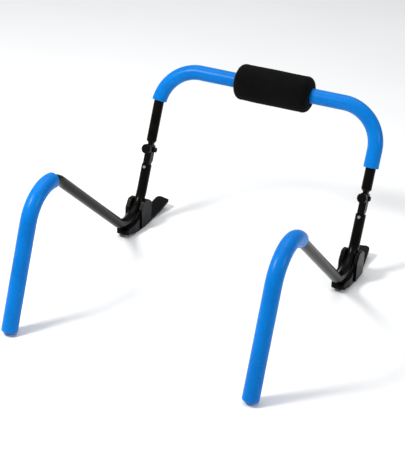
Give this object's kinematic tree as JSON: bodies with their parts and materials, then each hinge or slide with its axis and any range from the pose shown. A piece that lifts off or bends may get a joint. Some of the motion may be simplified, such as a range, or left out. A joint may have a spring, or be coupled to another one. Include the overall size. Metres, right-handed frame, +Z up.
{
  "type": "abdominal crunch rocker frame",
  "caption": "Folding abdominal crunch rocker: a padded U-shaped hand bar hinged to bent side frames with foam arms and curved rocker shoes.",
  "frame": {"origin": "centre of the footprint at floor level, between the two side frames", "axes": "+X to the right side frame, +Y towards the hand bar and the user's head, +Z up; -Y towards the arms"},
  "size_m": [0.656, 0.8764, 0.4597],
  "materials": {
    "black_enamel": "glossy black enamel on steel",
    "blue_foam": "smooth-skinned closed-cell foam, semi-gloss",
    "black_foam": "matte closed-cell foam",
    "black_plastic": "moulded plastic, satin",
    "zinc_steel": "bright zinc-plated steel"
  },
  "bodies": {
    "left_frame": {"left_side_tube": "black_enamel", "left_arm_foam": "blue_foam", "left_hinge_bracket": "black_enamel", "left_pivot_bolt": "black_enamel", "left_pivot_nut": "black_enamel", "left_pivot_washers": "black_enamel", "left_knob_nut": "zinc_steel", "left_bracket_screw": "zinc_steel", "left_rocker_shoe": "black_plastic", "left_shoe_screws": "zinc_steel"},
    "handle": {"handle_tube": "black_enamel", "centre_pad": "black_foam", "left_bar_foam": "blue_foam", "right_bar_foam": "blue_foam", "left_hinge_neck": "black_enamel", "right_hinge_neck": "black_enamel"},
    "right_frame": {"right_side_tube": "black_enamel", "right_arm_foam": "blue_foam", "right_hinge_bracket": "black_enamel", "right_pivot_bolt": "black_enamel", "right_pivot_nut": "black_enamel", "right_pivot_washers": "black_enamel", "right_knob_nut": "zinc_steel", "right_bracket_screw": "zinc_steel", "right_rocker_shoe": "black_plastic", "right_shoe_screws": "zinc_steel"},
    "left_knob": {"left_clamp_knob": "black_plastic", "left_knob_stud": "zinc_steel"},
    "right_knob": {"right_clamp_knob": "black_plastic", "right_knob_stud": "zinc_steel"}
  },
  "joints": [
    {"name": "left_fold", "type": "hinge", "parent": "left_frame", "child": "handle", "pos_m": [-0.303, 0.31417, 0.19889], "axis": [-1, 0, 0], "range_deg": [0, 105]},
    {"name": "right_fold", "type": "hinge", "parent": "handle", "child": "right_frame", "pos_m": [0.303, 0.31417, 0.19889], "axis": [1, 0, 0], "range_deg": [0, 105]},
    {"name": "left_knob_turn", "type": "hinge", "parent": "left_frame", "child": "left_knob", "pos_m": [-0.303, 0.29171, 0.20735], "axis": [0, -0.9359, 0.3523], "continuous": true},
    {"name": "right_knob_turn", "type": "hinge", "parent": "right_frame", "child": "right_knob", "pos_m": [0.303, 0.29171, 0.20735], "axis": [0, -0.9359, 0.3523], "continuous": true}
  ],
  "couplings": [
    {"joint": "right_fold", "follows": "left_fold", "ratio": 1}
  ]
}
